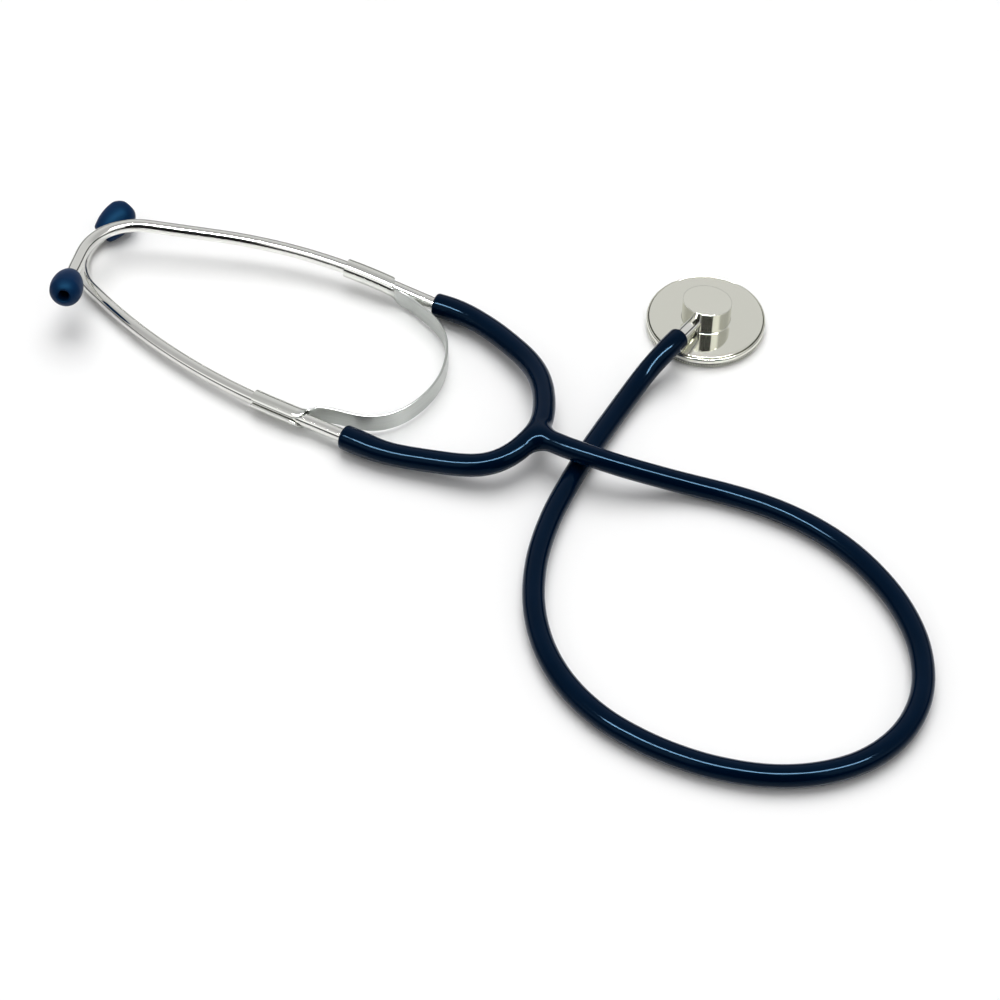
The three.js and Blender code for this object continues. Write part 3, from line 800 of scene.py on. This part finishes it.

# %% [markdown]
# ## Who moves with what
# Each piece rides on the body of its engineering part. The arms of the tubing and the halves of
# the spring ride on no body: their places are baked into their meshes.

# %% Finishes and bodies
SEATS = [
    (leg, "tubing", pvc, "tubing_vinyl", ["main_tube"]),
    (junction, "tubing", pvc, "tubing_vinyl", ["y_junction"]),
    (left_tube, "left_branch", tube_chrome, "chrome", ["ear_tube_left"]),
    (right_tube, "right_branch", tube_chrome, "chrome", ["ear_tube_right"]),
    (left_tip, "left_tip", soft_pvc, "ear_tip_vinyl", ["ear_tip_left"]),
    (right_tip, "right_tip", soft_pvc, "ear_tip_vinyl", ["ear_tip_right"]),
    (head, "chestpiece", plate_chrome, "chrome", ["chestpiece_head"]),
    (stem, "chestpiece", tube_chrome, "chrome", ["chestpiece_stem"]),
    (knurled_ring, "ring", knurl_chrome, "chrome", ["retaining_ring"]),
]
for piece, body, material, slot, nodes in SEATS:
    piece.data.materials.append(material)
    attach(piece, body)
    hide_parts(*nodes)

BENDS = [
    (left_arm, "left_branch", pvc, "tubing_vinyl", "left_arm", (73, -26, 10), (14, 8, 6)),
    (right_arm, "right_branch", pvc, "tubing_vinyl", "right_arm", (73, -56, 10), (14, -70, 6)),
    (left_spring, "left_branch", steel, "spring_steel", "leaf_spring", (31, -28, 6), (2, 4, 6)),
    (right_spring, "right_branch", steel, "spring_steel", "leaf_spring", (31, -33, 6), (2, -63, 6)),
]
for piece, branch, material, slot, replaced, start, end in BENDS:
    piece.data.materials.append(material)
    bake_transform(piece)
    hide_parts(replaced)

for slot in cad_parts["diaphragm"].material_slots:
    slot.material = film
print("pieces that ride:", len(SEATS), "and that bend:", len(BENDS))

# %% [markdown]
# ## The three stretches of tubing
# The three stretches are listed with their lines, radii and the pieces joined to them, and each
# line is scaled to metres.

CORDS = [
    (right_arm, right_path, ARM_RADIUS, []),
    (left_arm, left_path, ARM_RADIUS, []),
    (leg, leg_path[::-1], TUBING_RADIUS, [junction]),
]
for piece, line, radius, others in CORDS:
    line = line * MM

# %% [markdown]
# ## The studio
# A wide pale table with a slight gloss stands in a room that only shows in reflections. Bright
# metal needs something dark to mirror too, so the room is a sky of bands that swing over from
# the camera's side: dark low down, then white, then greys. Close to the horizon it is black all
# round. A dark card stands on the camera's side, and gives round upright metal a black stripe.

# %% Table
table_mesh = bpy.data.meshes.new("table")
table_mesh.from_pydata([(-40, -40, 0), (40, -40, 0), (40, 40, 0), (-40, 40, 0)], [], [(0, 1, 2, 3)])
table = bpy.data.objects.new("table", table_mesh)
bpy.context.collection.objects.link(table)
lacquer, tree, shader = finish(
    "white_lacquer", Base_Color=linear("#f4f4f4"), Roughness=0.22, Specular_IOR_Level=0.4,
)
table_mesh.materials.append(lacquer)

# %% Room
CAMERA_SIDE = (0.44, -0.898, 0.0)
BANDS = [(26, 0.03), (33, 1.15), (60, 1.15), (68, 0.55), (110, 0.55), (130, 0.75), (150, 0.8)]
world = bpy.data.worlds.new("studio")
world.use_nodes = True
bpy.context.scene.world = world
tree = world.node_tree
sky = node(tree, "ShaderNodeTexCoord").outputs["Generated"]
height = node(tree, "ShaderNodeSeparateXYZ", {"Vector": sky}).outputs["Z"]
front = node(tree, "ShaderNodeVectorMath", {0: sky, 1: CAMERA_SIDE}, operation="DOT_PRODUCT")
front = front.outputs["Value"]
swing = node(tree, "ShaderNodeMath", {0: height, 1: front}, operation="ARCTAN2").outputs["Value"]
turn = node(tree, "ShaderNodeMapRange", {"Value": swing, "From Min": 0.0, "From Max": np.pi})
bands = node(tree, "ShaderNodeValToRGB", {"Fac": turn.outputs["Result"]})
stops = bands.color_ramp.elements
for degrees, shade in BANDS:
    stops.new(degrees / 180).color = (shade, shade, shade, 1)
stops[0].color, stops[len(stops) - 1].color = (0.03, 0.03, 0.03, 1), (0.4, 0.4, 0.4, 1)
tree.links.new(bands.outputs["Color"], tree.nodes["Background"].inputs["Color"])
print("room bands:", len(BANDS))

# %% Card on the camera's side
square = node(tree, "ShaderNodeMath", {0: height, 1: height}, operation="MULTIPLY").outputs["Value"]
rest = node(tree, "ShaderNodeMath", {0: 1.0, 1: square}, operation="SUBTRACT").outputs["Value"]
level = node(tree, "ShaderNodeMath", {0: rest}, operation="SQRT").outputs["Value"]
facing = node(tree, "ShaderNodeMath", {0: front, 1: level}, operation="DIVIDE").outputs["Value"]
edges = {"Value": facing, "From Min": np.cos(radians(29)), "From Max": np.cos(radians(25))}
card = node(tree, "ShaderNodeMapRange", {**edges, "To Min": 1.0, "To Max": 0.03}).outputs["Result"]
over_card = {"Value": height, "From Min": 0.9, "From Max": 0.93}
over_card = node(tree, "ShaderNodeMapRange", over_card).outputs["Result"]
card = node(tree, "ShaderNodeMath", {0: card, 1: over_card}, operation="MAXIMUM").outputs["Value"]
above = {"Value": height, "From Min": 0.16, "From Max": 0.26}
above = node(tree, "ShaderNodeMapRange", above).outputs["Result"]
strength = node(tree, "ShaderNodeMath", {0: card, 1: above}, operation="MULTIPLY").outputs["Value"]
tree.links.new(strength, tree.nodes["Background"].inputs["Strength"])
print("room nodes:", len(tree.nodes))

# %% [markdown]
# ## The lights
# A wide soft light from behind the object lights the table evenly, however far one looks, and
# lets its shadows fall forwards. A long narrow strip of light above the camera draws the bright
# line along the tubing. The strip lights nothing and only shows in reflections, and the wide
# light never does.

# %% Lights
overhead = bpy.data.objects.new("overhead", bpy.data.lights.new("overhead", "SUN"))
bpy.context.collection.objects.link(overhead)
overhead.data.energy, overhead.data.angle = 2.0, radians(52)
overhead.rotation_euler = mathutils.Vector((0.3, -0.68, -1.45)).to_track_quat("-Z", "Y").to_euler()
overhead.visible_glossy = False

strip_light = bpy.data.objects.new("strip", bpy.data.lights.new("strip", "AREA"))
bpy.context.collection.objects.link(strip_light)
strip_light.data.shape, strip_light.data.energy = "RECTANGLE", 105
strip_light.data.size, strip_light.data.size_y = 2.2, 0.18
strip_light.location = (0.26, -0.45, 1.53)
aim = mathutils.Vector((0.05, -0.03, 0)) - strip_light.location
strip_light.rotation_euler = aim.to_track_quat("-Z", "Y").to_euler()
strip_light.visible_diffuse = False
bpy.context.scene.view_settings.view_transform = "Standard"
